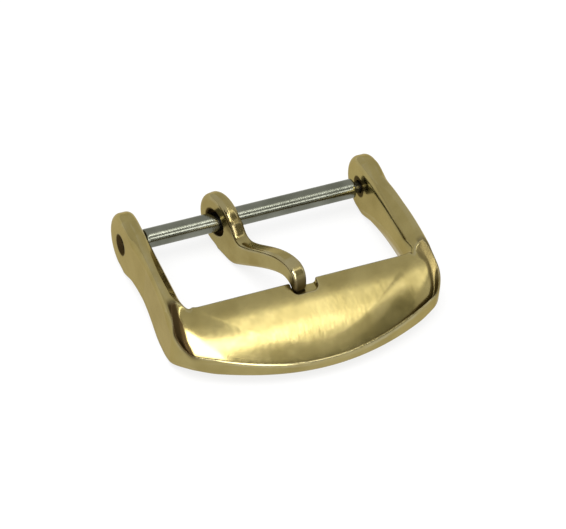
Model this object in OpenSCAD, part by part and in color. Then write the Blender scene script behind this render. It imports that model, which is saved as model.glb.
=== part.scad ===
// Tang buckle for a watch strap.
// A one-piece frame carries a sprung bar between its arms.
// The tongue hangs on the bar and its tip rests in a groove of the front plate.
// X runs along the bar, Y points back, Z points up.
// The origin is the middle of the buckle's footprint, on the surface that it lies on.

/* [Strap] */
// Gap between the arms, which is the strap's width
strap_w = 18; // [16:0.5:22]

/* [Frame] */
// Thickness of each arm
arm_t = 1.4; // [1.3:0.05:1.8]
// How much further each side flares outward at the plate
flare = 0.25; // [0.1:0.05:0.4]
// Radius of each arm's round end, about the bar's axis
knob_r = 2.35; // [2.3:0.05:2.6]
// Distance from the bar's axis forward to the plate's back edge
window_l = 9.55; // [9:0.05:12]
// Depth of the plate at its middle, from its back edge to its front edge
plate_l = 5.8; // [5.5:0.05:6.5]
// How far the front edge bows forward between its corners
bow = 3.3; // [2.8:0.05:3.6]
// Radius of the front corners, seen from above
corner_r = 1.2; // [1:0.1:2]
// Radius of the window's front corners
window_r = 0.8; // [0.5:0.1:1.5]
// Height of the arms' highest line above the bar's axis
crest_h = 2.85; // [2.75:0.05:3.3]
// Distance from the bar's axis forward to the arms' highest line
crest_l = 5.3; // [4.8:0.1:6]
// Thickness of the plate's front edge
edge_t = 0.95; // [0.8:0.05:1.3]
// Height of the front edge's underside above the surface it lies on
edge_lift = 0.8; // [0.6:0.05:0.9]
// Thickness of the plate over its hollow
plate_t = 1.4; // [1.2:0.05:1.6]
// Width of the solid lip under the front edge
lip_w = 1.2; // [1:0.1:1.5]
// Depth of the plate's face below the arms' tops
face_sink = 0.3; // [0.1:0.05:0.4]
// Height of the rim at the front corners above the surface it lies on
corner_h = 2.4; // [2.2:0.05:2.7]
// Slope of the rim near the front corners, in degrees
corner_slope = 47; // [44:1:50]
// Depth of the face below the rim near the front corners
corner_sink = 0.7; // [0.5:0.05:0.8]
// Distance of the face's front end from the front edge
rim_front = 0.3; // [0.2:0.05:0.6]
// Distance of the face's sides from the outer sides, at the foot of the rim's inner slope
rim_side = 0.65; // [0.5:0.05:0.9]
// Width of that slope
rim_slope = 0.4; // [0.3:0.05:0.5]
// Height of that slope
rim_rise = 0.45; // [0.3:0.05:0.6]
// Height of the hollow under each arm
arch_h = 0.9; // [0.6:0.05:1.4]
// Radius of the rounding along each arm's outer top edge
arm_round = 0.95; // [0.6:0.05:1]
// Radius of the rounding around each round end's outer edge
knob_round = 0.5; // [0.3:0.05:0.6]
// Depth of the bevel along each arm's inner top edge, at the round end
bevel_back = 0.75; // [0.4:0.05:0.9]
// Depth of the same bevel at the plate
bevel_front = 1.3; // [1:0.05:1.5]
// Slope of the bevel, in degrees
bevel_lean = 40; // [35:1:45]

/* [Foot] */
// Distance from the window's front back to the heel of each foot
foot_back = 1.8; // [1:0.1:2]
// Length of each foot
foot_l = 2.4; // [1.5:0.1:2.5]
// Width of each foot
foot_w = 0.6; // [0.5:0.05:0.9]
// Height of the bevel under each arm's inner side
under_h = 2.25; // [1.8:0.05:2.4]
// Height of the hollow ahead of the feet
toe_h = 0.95; // [0.9:0.05:1.2]

/* [Spring bar] */
// Diameter of the bar's tube
bar_d = 1.5; // [1.4:0.05:1.8]
// Wall of the tube
tube_wall = 0.2; // [0.15:0.01:0.22]
// Gap between each end of the tube and the arm
tube_gap = 0.5; // [0.3:0.05:0.8]
// Diameter of the pin at each end
pin_d = 0.9; // [0.8:0.05:0.95]
// Depth that each pin's end stays inside the arm's outer face
pin_recess = 0.3; // [0.2:0.05:0.5]
// Width and depth of the wider mouth of each pin's hole
mouth_w = 0.3; // [0.15:0.05:0.4]
// Length of each pin's sliding head
head_l = 0.6; // [0.5:0.05:1]
// Length of the lip that holds each head in the tube
lip_l = 0.25; // [0.2:0.05:0.4]
// Diameter of the spring's wire
wire_d = 0.15; // [0.12:0.01:0.18]
// Turns of the spring
spring_turns = 16; // [10:1:22]

/* [Tongue] */
// Outer radius of the tongue's eye
eye_r = 2.25; // [2.1:0.05:2.3]
// Diameter of the hole in the eye
eye_bore_d = 2.15; // [2.1:0.05:2.3]
// Thickness of the tongue, across the bar
tongue_t = 1.15; // [1:0.05:1.2]
// Turn of the tongue about the vertical, as it lies
tongue_yaw = 11; // [9:0.5:12]
// Distance of the eye's middle from the bar's middle
eye_offset = 2.3; // [2.1:0.05:2.4]
// Height of the tongue between its flat sides, along its curved part
tongue_h = 1.45; // [1.2:0.05:1.6]
// Distance from the bar's axis forward to the dip behind the hump
neck_l = 3.2; // [2.9:0.1:3.5]
// Height of the dip above the bar's axis
neck_h = 0.5; // [0.35:0.05:0.7]
// Height of the tongue's hump above the bar's axis
hump_h = 3.4; // [3.3:0.05:3.7]
// Distance from the plate's back edge back to the top of the hump
hump_back = 0.5; // [0.4:0.05:0.8]
// Thickness of the tip, front to back
tip_t = 0.55; // [0.5:0.05:0.7]
// Distance from the tip to the front end of its groove
tip_space = 0.15; // [0.1:0.05:0.3]
// Width of the groove that takes the tip
groove_w = 2; // [1.8:0.05:2.4]
// Length of the groove
groove_l = 0.95; // [0.8:0.05:1.2]
// Depth of the groove below the plate's back edge
groove_h = 0.5; // [0.4:0.05:0.8]

/* [Clearances] */
// Gap around a pin in its arm, and around a head in the tube
running_gap = 0.05; // [0.03:0.01:0.1]
// Gap between the resting tip and the groove
tip_gap = 0.1; // [0.05:0.01:0.2]

/* [Hidden] */
$fn = 96;
eps = 0.01;
far = 40;

// Main lengths and heights, with forward lengths counted from the bar's axis
front_l = window_l + plate_l;
half_in = strap_w / 2;
side_x = half_in + arm_t;
half_out = side_x + flare;
axis_z = knob_r;
axis_y = (front_l - knob_r) / 2;
edge_z = edge_lift + edge_t;
crest_z = axis_z + crest_h;

// Crown, the round line of the arms' tops, through the crest and the front edge
crown_drop = crest_z - edge_z;
crown_run = front_l - crest_l;
crown_r = (crown_run * crown_run + crown_drop * crown_drop) / (2 * crown_drop);
crown_z = crest_z - crown_r;
face_r = crown_r - face_sink;
hollow_r = face_r - plate_t;

// Front edge seen from above, an arc through its middle and its corners
bow_r = (half_out * half_out + bow * bow) / (2 * bow);
bow_l = front_l - bow_r;
corner_x = half_out - corner_r;
corner_run = sqrt(pow(bow_r - corner_r, 2) - corner_x * corner_x);
corner_l = bow_l + corner_run;

// Cone about the middle of the bow, which lowers the front corners
cone_r = bow_r + corner_h / tan(corner_slope);

// Hollow under each arm, an arc from the round end to the foot
heel_l = window_l - foot_back;
arch_back = 0.4;
arch_half = (heel_l - arch_back) / 2;
arch_r = (arch_half * arch_half + arch_h * arch_h) / (2 * arch_h);

// Round bevel under each arm's inner side, lowest at both ends
under_lean = atan(under_h / (arm_t - foot_w));
under_run = heel_l - arch_back;
under_drop = under_h * cos(under_lean);
under_r = (under_run * under_run + under_drop * under_drop) / (2 * under_drop);

// Hollow ahead of the feet, an arc that meets the front edge at its lift
toe_back = heel_l + foot_l;
toe_run = front_l - toe_back;
toe_half = toe_run * toe_h / (toe_h + sqrt(toe_h * (toe_h - edge_lift)));
toe_r = (toe_half * toe_half + toe_h * toe_h) / (2 * toe_h);

// Flare, straight between these two forward lengths
flare_back = window_l / 2;
flare_front = window_l + 1;

// Line along the foot of the rim's inner slope, from the plate's back edge to the corner
slope_l = corner_l - window_l;
slope_x = half_out - rim_side;
slope_back = corner_h - corner_sink
    + tan(corner_slope) * (bow_r - norm([slope_x, window_l - bow_l]));
slope_front = corner_h - corner_sink
    + tan(corner_slope) * (bow_r - norm([slope_x, corner_l - bow_l]));
slope_fall = atan((slope_back - slope_front) / slope_l);

// Height of the plate's face at its back edge
face_back_run = window_l - crest_l;
face_back_z = crown_z + sqrt(face_r * face_r - face_back_run * face_back_run);
groove_z = face_back_z - groove_h;

// Spring bar
tube_half = half_in - tube_gap;
tube_r = bar_d / 2;
tube_in_r = tube_r - tube_wall;
pin_r = pin_d / 2;
pin_end = side_x - pin_recess;
pin_hole_r = pin_r + running_gap;
mouth_r = pin_hole_r + mouth_w;
lip_r = (pin_r + tube_in_r) / 2;
head_r = tube_in_r - running_gap;
lip_in = tube_half - lip_l;
head_out = lip_in - running_gap;
head_in = head_out - head_l;
spring_half = head_in - running_gap;
coil_r = head_r - wire_d / 2 - running_gap;
coil_half = spring_half - wire_d / 2;
coil_rings = 12;
coil_sides = 6;

// Tongue, in its own plane: forward length first, then height above the bar's axis
tip_l = window_l + groove_l - tip_space;
tip_z = groove_z + tip_gap - axis_z;
root_z = eye_r / 2;
root_l = sqrt(eye_r * eye_r - root_z * root_z) - eps;
hump_l = window_l - hump_back;
belly_l = tip_l - tip_t;
belly_z = hump_h - tongue_h;
chin_l = neck_l - tongue_h / 3;
chin_z = neck_h - 1.8 * tongue_h;
foot_in = eye_r / 4;
curve_steps = 10;

// A point of a cubic curve with four control points
function curve(p, t) =
    pow(1 - t, 3) * p[0] + 3 * pow(1 - t, 2) * t * p[1]
    + 3 * (1 - t) * t * t * p[2] + pow(t, 3) * p[3];

// The points of a cubic curve, without its first one
function curve_points(p) = [for (i = [1:curve_steps]) curve(p, i / curve_steps)];

// Moves children to the bar's axis
module at_axis() {
    translate([0, axis_y, axis_z]) children();
}

// A cylinder along X, between two places
module bar_x(r, x0, x1) {
    translate([x0, 0, 0]) rotate([0, 90, 0]) cylinder(r = r, h = x1 - x0);
}

// A cylinder along X at a forward length and a height, across the whole buckle
module round_x(r, l, z, half) {
    translate([0, axis_y - l, z]) bar_x(r, -half, half);
}

// A block between two forward lengths, two heights and two sides
module block(x0, x1, l0, l1, z0, z1) {
    translate([x0, axis_y - l1, z0]) cube([x1 - x0, l1 - l0, z1 - z0]);
}

// The front edge's arc as an upright cylinder, moved in from the edge
module bow_cylinder(inset) {
    translate([0, axis_y - bow_l, -1]) cylinder(r = bow_r - inset, h = far, $fn = 240);
}

// A solid wheel along X with one round edge, its flat inner side at the origin
module round_wheel(r, h, edge) {
    bar_x(r, 0, h - edge);
    bar_x(r - edge, 0, h);
    translate([h - edge, 0, 0])
        rotate([0, 90, 0])
            rotate_extrude() translate([r - edge, 0]) circle(r = edge, $fn = 32);
}

// The cone that lowers the front corners, set down by a depth
module corner_cone(sink) {
    translate([0, axis_y - bow_l, -sink])
        cylinder(r1 = cone_r, r2 = 0, h = cone_r * tan(corner_slope), $fn = 240);
}

// What lies outside one rounded front corner
module corner_cut() {
    steps = corner_r + 2;
    along = [corner_x, corner_run] / (bow_r - corner_r);
    translate([0, axis_y, -1]) {
        difference() {
            linear_extrude(far)
                polygon([
                    [corner_x, -corner_l],
                    [corner_x + steps, -corner_l],
                    [corner_x + steps, -corner_l - steps * 2],
                    [corner_x + along[0] * steps, -corner_l - along[1] * steps],
                ]);
            translate([corner_x, -corner_l, -eps])
                cylinder(r = corner_r, h = far + 1, $fn = 64);
        }
    }
}

// The bowed plate and the arms, with their round tops
module crown() {
    intersection() {
        block(-half_out, half_out, 0, front_l + eps, 0, crest_z + eps);
        for (side = [0, 1]) {
            mirror([side, 0, 0])
                translate([0, axis_y - crest_l, crown_z])
                    round_wheel(crown_r, half_out, arm_round, $fn = 240);
        }
        bow_cylinder(0);
        corner_cone(0);
    }
}

// The solid that all cuts are made from
module frame_blank() {
    difference() {
        crown();
        difference() {
            block(-half_out - 1, half_out + 1, -1, knob_r / 2, -1, axis_z);
            at_axis() bar_x(knob_r - knob_round, -half_out - 2, half_out + 2);
        }
    }
    for (side = [0, 1]) {
        mirror([side, 0, 0])
            at_axis() translate([half_in, 0, 0]) round_wheel(knob_r, arm_t, knob_round);
    }
}

// The open window between the arms, with round front corners
module window_cut() {
    block(-half_in, half_in, -far, window_l - window_r, -1, far);
    block(-half_in + window_r, half_in - window_r, 0, window_l, -1, far);
    for (side = [-1, 1]) {
        translate([side * (half_in - window_r), axis_y - window_l + window_r, -1])
            cylinder(r = window_r, h = far, $fn = 48);
    }
}

// The bevel along the inner top edge of the arm on the +X side
module bevel_cut() {
    run = window_l - window_r;
    fall = atan((bevel_front - bevel_back) / run);
    intersection() {
        translate([half_in, axis_y, crest_z - bevel_back])
            rotate([fall, -bevel_lean, 0])
                translate([-arm_t, -2 * run, 0]) cube([4 * arm_t, 4 * run, 4 * arm_t]);
        block(half_in - eps, half_out + 1, -2 * knob_r, run, 0, far);
    }
}

// The round bevel under the inner side of the arm on the +X side
module under_cut() {
    intersection() {
        translate([side_x - foot_w, axis_y - heel_l, 0])
            rotate([0, 90 + under_lean, 0])
                translate([under_r, 0, -far / 2])
                    cylinder(r = under_r, h = far, $fn = 240);
        block(half_in - eps, half_out - eps, 0, front_l, -1, crest_z);
        bow_cylinder(lip_w);
    }
}

// What lies outside the arm's own side, back from the flare, on the +X side
module side_cut() {
    translate([0, axis_y, -1])
        linear_extrude(far)
            polygon([
                [side_x, knob_r + 1],
                [half_out + 1, knob_r + 1],
                [half_out + 1, -flare_front],
                [half_out, -flare_front],
                [side_x, -flare_back],
            ]);
}

// The room over the slope inside the rim, on the +X side
module slope_room() {
    translate([slope_x, axis_y - window_l, slope_back])
        rotate([90 + slope_fall, 0, 0])
            translate([0, 0, -2])
                linear_extrude(slope_l + 4)
                    polygon([
                        [-2, -2],
                        [0, -2],
                        [0, 0],
                        [rim_slope, rim_rise],
                        [rim_slope, 4],
                        [-2, 4],
                    ]);
}

// The room above the plate's face, inside the rim
module face_cut() {
    difference() {
        intersection() {
            union() {
                block(-slope_x + 1, slope_x - 1, 0, front_l, 0, far);
                slope_room();
                mirror([1, 0, 0]) slope_room();
            }
            block(-half_out, half_out, window_l - window_r - eps, front_l, 0, far);
            bow_cylinder(rim_front);
        }
        for (side = [0, 1]) {
            mirror([side, 0, 0]) translate([-rim_side / 2, rim_side / 2, 0]) corner_cut();
        }
        intersection() {
            round_x(face_r, crest_l, crown_z, half_out + 1);
            corner_cone(corner_sink);
        }
    }
}

// The strap's room under the plate, between the feet
module hollow_cut() {
    intersection() {
        round_x(hollow_r, crest_l, crown_z, half_in);
        block(-half_in, half_in, window_l - window_r - eps, front_l, -1, far);
        bow_cylinder(lip_w);
    }
}

// The groove for the tongue's tip, open to the window
module groove_cut() {
    block(-groove_w / 2, groove_w / 2, window_l - window_r, window_l + groove_l,
          groove_z, far);
}

// The hole for one pin, with its wider mouth outside
module pin_hole_cut(side) {
    mid = side * (half_in + side_x) / 2;
    at_axis() {
        bar_x(pin_hole_r, mid - arm_t, mid + arm_t);
        bar_x(mouth_r, side * side_x - mouth_w, side * side_x + mouth_w);
    }
}

module frame() {
    color([0.75, 0.65, 0.37])
        difference() {
            frame_blank();
            window_cut();
            round_x(arch_r, arch_back + arch_half, arch_h - arch_r, half_out + 1);
            round_x(toe_r, toe_back + toe_half, toe_h - toe_r, half_out + 1);
            hollow_cut();
            face_cut();
            groove_cut();
            for (side = [0, 1]) {
                mirror([side, 0, 0]) {
                    corner_cut();
                    side_cut();
                    bevel_cut();
                    under_cut();
                }
            }
            pin_hole_cut(-1);
            pin_hole_cut(1);
        }
}

// The tongue's top line, from the eye over the hump to the tip
function top_line() = concat(
    [[root_l, root_z]],
    curve_points([[root_l, root_z], [root_l * 1.2, neck_h + 0.2],
                  [neck_l - 0.5, neck_h], [neck_l, neck_h]]),
    curve_points([[neck_l, neck_h], [neck_l + 1.2, neck_h + 0.2],
                  [hump_l - 2.2, hump_h - 0.1], [hump_l, hump_h]]),
    curve_points([[hump_l, hump_h], [hump_l + 1, hump_h], [tip_l, hump_h - 0.8],
                  [tip_l, tip_z]])
);

// The tongue's underside, from the tip back to the eye
function under_line() = concat(
    [[belly_l, tip_z]],
    curve_points([[belly_l, tip_z], [belly_l, belly_z - 0.3],
                  [hump_l + 0.45, belly_z + 0.1], [hump_l - 0.3, belly_z - 0.05]]),
    curve_points([[hump_l - 0.3, belly_z - 0.05], [hump_l - 1.8, belly_z - 0.5],
                  [neck_l + 1.3, neck_h - 1.3], [chin_l, chin_z]]),
    curve_points([[chin_l, chin_z], [chin_l - 0.9, chin_z - 0.5],
                  [foot_in * 2, eps - eye_r], [foot_in, 3 * eps - eye_r]])
);

module tongue_outline() {
    polygon(concat(top_line(), under_line(), [[foot_in, 0]]));
}

module tongue() {
    color([0.68, 0.6, 0.36])
        translate([-eye_offset, axis_y, axis_z])
            rotate([0, 0, tongue_yaw])
                difference() {
                    union() {
                        bar_x(eye_r, -tongue_t / 2, tongue_t / 2);
                        rotate([90, 0, -90])
                            translate([0, 0, -tongue_t / 2])
                                linear_extrude(tongue_t) tongue_outline();
                    }
                    bar_x(eye_bore_d / 2, -tongue_t, tongue_t);
                }
}

module bar_tube() {
    color([0.6, 0.61, 0.58])
        at_axis() difference() {
            bar_x(tube_r, -tube_half, tube_half);
            bar_x(tube_in_r, -lip_in, lip_in);
            bar_x(lip_r, -tube_half - eps, tube_half + eps);
        }
}

// The ring of points around the coil's wire at one step of its winding
function coil_ring(i) =
    let (
        steps = spring_turns * coil_rings,
        turn = 360 * i / coil_rings,
        x = -coil_half + 2 * coil_half * i / steps,
        out = [0, cos(turn), sin(turn)]
    )
    [for (k = [0:coil_sides - 1])
        let (a = 360 * k / coil_sides)
        [x, 0, 0] + out * coil_r
        + (out * cos(a) + [1, 0, 0] * sin(a)) * wire_d / 2];

// The spring as one unbroken tube
module coil() {
    last = spring_turns * coil_rings;
    points = [for (i = [0:last]) each coil_ring(i)];
    sides = [
        for (i = [0:last - 1], k = [0:coil_sides - 1])
            let (
                j = (k + 1) % coil_sides,
                a = i * coil_sides,
                b = a + coil_sides
            )
            each [[a + k, a + j, b + j], [a + k, b + j, b + k]]
    ];
    first_end = [for (k = [1:coil_sides - 2]) [0, k + 1, k]];
    base = last * coil_sides;
    last_end = [for (k = [1:coil_sides - 2]) [base, base + k, base + k + 1]];
    polyhedron(points, concat(sides, first_end, last_end));
}

module bar_spring() {
    color([0.5, 0.5, 0.5]) at_axis() coil();
}

// One sprung end: its pin in the arm and its head in the tube
module tip(side) {
    color([0.55, 0.56, 0.54])
        at_axis() mirror([side < 0 ? 1 : 0, 0, 0]) {
            bar_x(pin_r, head_out - eps, pin_end);
            bar_x(head_r, head_in, head_out);
        }
}

module left_tip() {
    tip(-1);
}

module right_tip() {
    tip(1);
}

frame();
tongue();
bar_tube();
bar_spring();
left_tip();
right_tip();
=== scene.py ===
# Tang buckle for a watch strap, dressed for its photograph.
# The frame and the tongue are smooth solids given by distance formulas, meshed here.
# Lengths in the formulas are in millimetres, counted from the bar's axis: fwd towards
# the plate, up, and x along the bar. Meshes are written in metres in the CAD frame.

import math

import bpy
import numpy as np
from mathutils import Matrix, Vector


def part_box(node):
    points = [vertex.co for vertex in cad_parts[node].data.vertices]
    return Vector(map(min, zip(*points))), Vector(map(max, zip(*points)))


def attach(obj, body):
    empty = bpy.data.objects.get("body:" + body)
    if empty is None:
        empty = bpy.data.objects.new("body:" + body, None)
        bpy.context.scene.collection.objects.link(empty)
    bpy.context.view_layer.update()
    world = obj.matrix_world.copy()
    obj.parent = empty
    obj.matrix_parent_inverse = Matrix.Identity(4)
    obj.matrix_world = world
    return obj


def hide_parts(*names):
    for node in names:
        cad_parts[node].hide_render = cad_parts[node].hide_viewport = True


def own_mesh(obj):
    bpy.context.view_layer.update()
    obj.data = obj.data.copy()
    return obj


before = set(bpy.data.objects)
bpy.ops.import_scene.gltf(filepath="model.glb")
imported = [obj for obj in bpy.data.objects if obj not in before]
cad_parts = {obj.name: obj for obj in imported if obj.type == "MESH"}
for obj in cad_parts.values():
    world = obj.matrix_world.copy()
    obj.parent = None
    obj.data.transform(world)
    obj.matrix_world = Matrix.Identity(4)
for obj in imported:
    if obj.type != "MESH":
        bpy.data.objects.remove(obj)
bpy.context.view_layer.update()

MM = 0.001

# Places taken from the CAD
tube_low, tube_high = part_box("bar_tube")
frame_low, frame_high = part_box("frame")
tongue_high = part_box("tongue")[1]
pin_low, pin_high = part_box("right_tip")
AXIS_Y = (tube_low.y + tube_high.y) / 2 / MM
AXIS_Z = (tube_low.z + tube_high.z) / 2 / MM
HALF_OUT = frame_high.x / MM
FRONT_L = AXIS_Y - frame_low.y / MM
KNOB_R = AXIS_Z
TUBE_HALF = tube_high.x / MM
TUBE_R = (tube_high.z - tube_low.z) / 2 / MM
PIN_END = pin_high.x / MM
HEAD_IN = pin_low.x / MM
HUMP_H = tongue_high.z / MM - AXIS_Z

# Frame, in the same lengths as the solids
HALF_IN = 9.0
WINDOW_L = 9.55
WINDOW_R = 0.8
BOW = 3.3
CORNER_R = 1.2
FLARE = 0.25
FLARE_BACK = WINDOW_L / 2
FLARE_FRONT = WINDOW_L + 1
CREST_H = 2.85
CREST_L = 5.3
EDGE_T = 0.95
EDGE_LIFT = 0.8
PLATE_T = 1.4
FACE_SINK = 0.3
CORNER_H = 2.4
CORNER_SLOPE = math.radians(47)
CORNER_SINK = 0.7
RIM_SIDE = 0.65
RIM_FRONT = 0.3
RIM_LEAN = 1.0
RIM_LEAN_FRONT = 0.3
LIP_W = 1.2
ARM_ROUND = 0.95
RIM_ROUND = 0.15
KNOB_ROUND = 0.5
INNER_ROUND = 0.18
UNDER_ROUND = 0.22
TOE_ROUND = 0.3
ARCH_BACK = 0.4
ARCH_H = 0.9
BEVEL_BACK = 0.75
BEVEL_FRONT = 1.3
BEVEL_LEAN = math.radians(40)
FOOT_BACK = 1.8
FOOT_L = 2.4
FOOT_W = 0.6
UNDER_H = 2.25
TOE_H = 0.95
GROOVE_W = 2.0
GROOVE_L = 0.95
GROOVE_H = 0.5
PIN_R = 0.45
HOLE_R = 0.5
MOUTH_R = 0.8
MOUTH_W = 0.3

# Small edge radii of the frame, and how far the scoop reaches into the window
SHARP_ROUND = 0.05
POCKET_ROUND = 0.08
HOLLOW_ROUND = 0.15
HOLLOW_CORNER = 0.4
BEVEL_ROUND = 0.35
CROWN_BLEND = 0.6
UNDER_BLEND = 0.5
KNOB_BLEND = 0.5
TOP_ROUND = 0.1
GROOVE_CORNER = 0.45
GROOVE_FLOOR_ROUND = 0.2
GROOVE_EDGE_ROUND = 0.12
HOLE_ROUND = 0.06
SCOOP_INSET = 0.3

# Stretches over which one form fades into the next, and how much it changes there
PLATE_FADE = (9.0, 11.5)
KNOB_FADE = (0.0, 2.5)
SIDE_FADE = (-1.2, 0.6)
CORNER_FADE_OUT = (8.0, 10.2)
CORNER_FADE_FWD = (10.5, 12.5)
CORNER_UNDER_ROUND = 0.5
EDGE_FADE_LOW = -1.6
EDGE_FADE_HIGH = 0.6
ARM_FADE_RISE = 0.9
BEVEL_END_L = 1.8
BEVEL_END_RISE = 0.35
BEVEL_OUT_L = 3
BEVEL_OUT_RISE = 3
BEVEL_INNER_FADE = (-0.1, 0.9)
BEVEL_REACH = 0.15
POCKET_LEAD = 0.9
POCKET_MIDDLE_LEAD = 3
POCKET_MIDDLE_FADE = (6.5, 8.3)
POCKET_SLOPE = 2
POCKET_NORM = 2.2
POCKET_BACK_ROUND = 0.3

FRAME_STEP = 0.07
FRAME_NORMAL_STEP = 0.02
TONGUE_STEP = 0.07
TONGUE_NORMAL_STEP = 0.04
ROOM = 0.3

# Wear painted on the meshes, between two measures of how sharply an edge bends
WEAR = 0.6
WEAR_STEP = 0.06
FRAME_WEAR_BEND = (1.5, 5.0)
TONGUE_WEAR_BEND = (1.5, 4.0)

# Painted shade on the rim's inner walls, stronger at the left end
SHADE_END_FADE = (-1.7, -0.7)
SHADE_BACK_FADE = (8.3, 9.1)
SHADE_NARROWING = (-1.4, 0.2)
SHADE_HEIGHT_FADE = (1.8, 2.1)
SHADE_FOOT_FADE = 0.2
SHADE_CREST_FADE = 0.12
LEFT_BREADTH = 0.68
LEFT_BREADTH_RISE = 0.12
LEFT_BREADTH_FADE = (9.7, 10.4)
LEFT_CREST = -0.3
LEFT_CREST_RISE = 0.18
LEFT_CREST_FADE = (9.8, 11.0)
RIGHT_BREADTH = 0.8
RIGHT_BREADTH_RISE = 0.35
RIGHT_START_FADE = (9.1, 9.4)
RIGHT_END_FADE = (9.9, 10.4)
RIGHT_CREST = -0.14
RIGHT_SHADE = 0.66

# Painted shade on the tongue
BEND_SHADE = 0.5
BEND_REACH_FADE = (2.5, 3.7)
BEND_FWD_FADE = (0.9, 1.7)
BEND_UP_FADE = (0.3, 0.8)
NOSE_SHADE = 0.75
NOSE_FWD_FADE = (9.3, 9.8)
NOSE_UP_FADE = (2.5, 3.1)

# Spring bar
TUBE_WALL = 0.2
LIP_L = 0.25
RUNNING_GAP = 0.05
TUBE_ROUND = 0.12
LIP_ROUND = 0.04
HEAD_BACK_ROUND = 0.05
HEAD_ROUND = 0.03
SHOULDER = 0.02
NOSE_ROUND = 0.14
WIRE_R = 0.075
SPRING_TURNS = 16
SPRING_SIDES = 10
SPRING_TURN_STEPS = 24

# Tongue
EYE_R = 2.25
EYE_BORE_R = 1.075
EYE_OFFSET = 2.3
TONGUE_T = 1.15
TONGUE_YAW = math.radians(11)
TONGUE_H = 1.45
NECK_L = 3.2
NECK_H = 0.5
HUMP_BACK = 0.5
TIP_T = 0.55
TIP_SPACE = 0.15
TIP_GAP = 0.1
TONGUE_REACH = 11.2
TABLE_STEP = 0.05
TABLE_LOW = (-2.7, -2.7)
TABLE_HIGH = (11.5, 4.2)
EYE_BLEND = 0.6
HUMP_ROUND = 0.05
BORE_ROUND = 0.1
TONGUE_ROUND = 0.28
EYE_EXTRA_ROUND = 0.14
EYE_ROUND_FADE = (1.6, 4.0)

edge_up = EDGE_LIFT + EDGE_T - AXIS_Z
crown_drop = CREST_H - edge_up
crown_run = FRONT_L - CREST_L
CROWN_R = (crown_run ** 2 + crown_drop ** 2) / (2 * crown_drop)
CROWN_UP = CREST_H - CROWN_R
BOW_R = (HALF_OUT ** 2 + BOW ** 2) / (2 * BOW)
BOW_L = FRONT_L - BOW_R
HEEL_L = WINDOW_L - FOOT_BACK
arch_half = (HEEL_L - ARCH_BACK) / 2
ARCH_R = (arch_half ** 2 + ARCH_H ** 2) / (2 * ARCH_H)
toe_back = HEEL_L + FOOT_L
toe_run = FRONT_L - toe_back
toe_half = toe_run * TOE_H / (TOE_H + math.sqrt(TOE_H * (TOE_H - EDGE_LIFT)))
TOE_R = (toe_half ** 2 + TOE_H ** 2) / (2 * TOE_H)
under_lean = math.atan(UNDER_H / (HALF_OUT - FLARE - HALF_IN - FOOT_W))
under_drop = UNDER_H * math.cos(under_lean)
under_run = HEEL_L - ARCH_BACK
UNDER_R = (under_run ** 2 + under_drop ** 2) / (2 * under_drop)
FACE_R = CROWN_R - FACE_SINK
FACE_BACK_UP = CROWN_UP + math.sqrt(FACE_R ** 2 - (WINDOW_L - CREST_L) ** 2)
GROOVE_UP = FACE_BACK_UP - GROOVE_H


# Distance formulas, where a value below zero is inside


def both(a, b, r):
    """What is inside a and b, with an edge rounded to r."""
    return np.minimum(np.maximum(a, b), -r) + np.hypot(np.maximum(a + r, 0), np.maximum(b + r, 0))


def either(a, b, r):
    """What is inside a or b, with an inner corner rounded to r."""
    return -both(-a, -b, r)


def ramp(v, low, high):
    """Goes smoothly from 0 at low to 1 at high."""
    t = np.clip((v - low) / (high - low), 0, 1)
    return t * t * (3 - 2 * t)


def side_profile(x, fwd, up):
    """The arms, the plate and the round ends as seen from the side."""
    crown = np.hypot(fwd - CREST_L, up - CROWN_UP) - CROWN_R
    rho = np.hypot(x, fwd - BOW_L)
    cone_up = CORNER_H - AXIS_Z + math.tan(CORNER_SLOPE) * (BOW_R - rho)
    cone = (up - cone_up) * math.cos(CORNER_SLOPE)
    top = both(crown, cone, CROWN_BLEND)
    arch = ARCH_R - np.hypot(fwd - ARCH_BACK - arch_half, up + AXIS_Z - ARCH_H + ARCH_R)
    toe = TOE_R - np.hypot(fwd - toe_back - toe_half, up + AXIS_Z - TOE_H + TOE_R)
    under = both(both(-up - AXIS_Z, arch, UNDER_BLEND), toe, UNDER_BLEND)
    slab = both(both(top, under, TOP_ROUND), -fwd, SHARP_ROUND)
    disc = np.hypot(fwd, up) - KNOB_R
    return both(either(slab, disc, KNOB_BLEND), -up - AXIS_Z, SHARP_ROUND)


def outer_plan(x, fwd):
    """The outline from above: flared sides, a bowed front and round corners."""
    half = HALF_OUT - FLARE * (1 - np.clip((fwd - FLARE_BACK) / (FLARE_FRONT - FLARE_BACK), 0, 1))
    bow = np.hypot(x, fwd - BOW_L) - BOW_R
    return both(np.abs(x) - half, bow, CORNER_R)


def face_pocket(x, fwd, up, plan, side):
    """The room above the plate's face, inside a rim that rises out of the arms."""
    ax = np.abs(x)
    crown = np.hypot(fwd - CREST_L, up - CROWN_UP) - FACE_R
    rho = np.hypot(x, fwd - BOW_L)
    cone_up = CORNER_H - CORNER_SINK - AXIS_Z + math.tan(CORNER_SLOPE) * (BOW_R - rho)
    cone = (up - cone_up) * math.cos(CORNER_SLOPE)
    face = both(crown, cone, CROWN_BLEND)
    foot = RIM_FRONT + (RIM_SIDE - RIM_FRONT) * side
    lean = RIM_LEAN_FRONT + (RIM_LEAN - RIM_LEAN_FRONT) * side
    wall = (plan + foot - lean * np.maximum(face, 0)) / np.hypot(1, lean)
    start = WINDOW_L - POCKET_LEAD - POCKET_MIDDLE_LEAD * (1 - ramp(ax, *POCKET_MIDDLE_FADE))
    depth = CROWN_R - np.hypot(fwd - CREST_L, up - CROWN_UP)
    wall = both(wall, (start + POCKET_SLOPE * depth - fwd) / POCKET_NORM, POCKET_BACK_ROUND)
    return both(wall, -face, POCKET_ROUND)


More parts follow.
